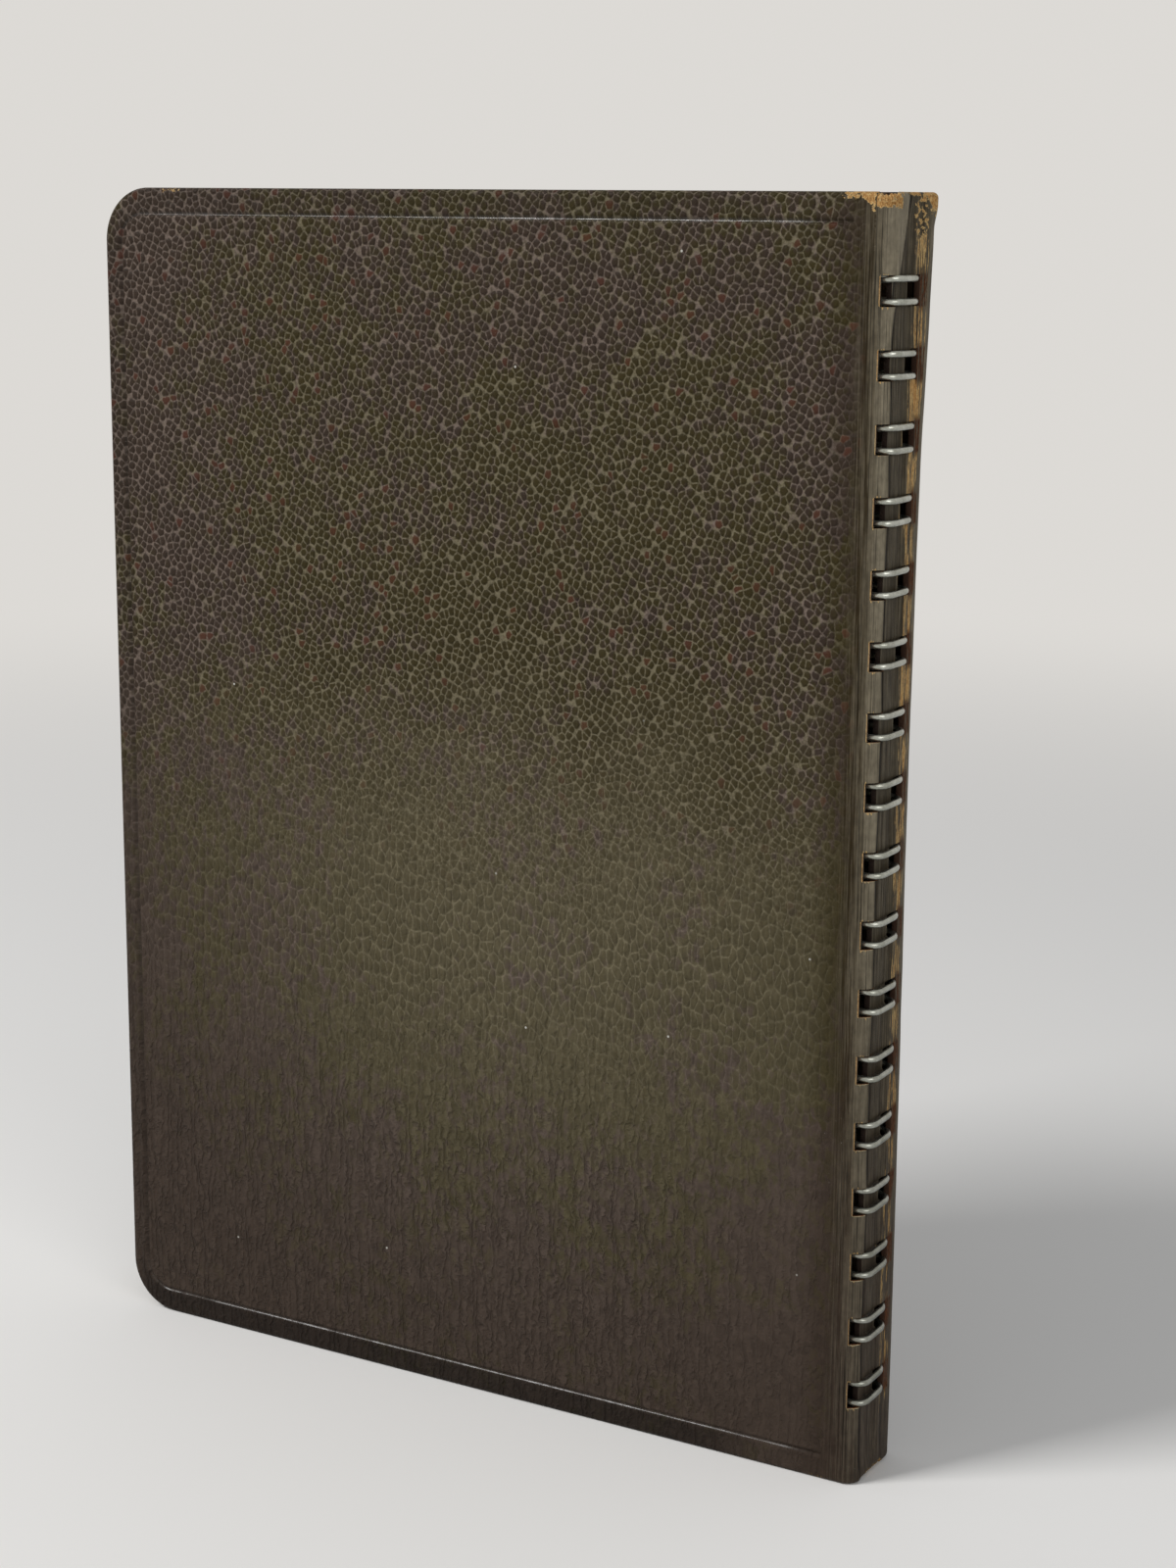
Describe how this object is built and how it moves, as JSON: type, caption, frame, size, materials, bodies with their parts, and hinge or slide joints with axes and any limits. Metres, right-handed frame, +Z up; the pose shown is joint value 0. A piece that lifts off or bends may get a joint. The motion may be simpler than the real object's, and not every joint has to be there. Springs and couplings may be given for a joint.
{
  "type": "spiral-bound book",
  "caption": "Upright wire-bound book with a wraparound leather cover, rounded corners, a slotted spine and a page block on a twin-loop wire; both covers open.",
  "frame": {"origin": "centre of the book's base on the surface it stands on", "axes": "+Z up from the tail to the head, +X from the fore-edge to the spine, and -Y out of the back cover that faces the camera"},
  "size_m": [0.173, 0.0176, 0.238],
  "materials": {
    "leather": "dark brown pebble-grained leather, worn to tan at the spine",
    "board": "grey-brown binder's board",
    "lining": "plain dark brown lining paper",
    "paper": "uncoated off-white paper",
    "wire": "dull grey steel wire"
  },
  "bodies": {
    "binding": {"spine_leather": "leather", "page_block": "paper", "twin_loop_wire": "wire"},
    "back_cover": {"back_cover_leather": "leather", "back_cover_board": "board", "back_cover_lining": "lining"},
    "front_cover": {"front_cover_leather": "leather", "front_cover_board": "board", "front_cover_lining": "lining"}
  },
  "joints": [
    {"name": "back_cover_hinge", "type": "hinge", "parent": "binding", "child": "back_cover", "pos_m": [0.08235, -0.0088, 0.119], "axis": [0, 0, 1], "range_deg": [0, 175]},
    {"name": "front_cover_hinge", "type": "hinge", "parent": "binding", "child": "front_cover", "pos_m": [0.08235, 0.0088, 0.119], "axis": [0, 0, -1], "range_deg": [0, 175]}
  ]
}
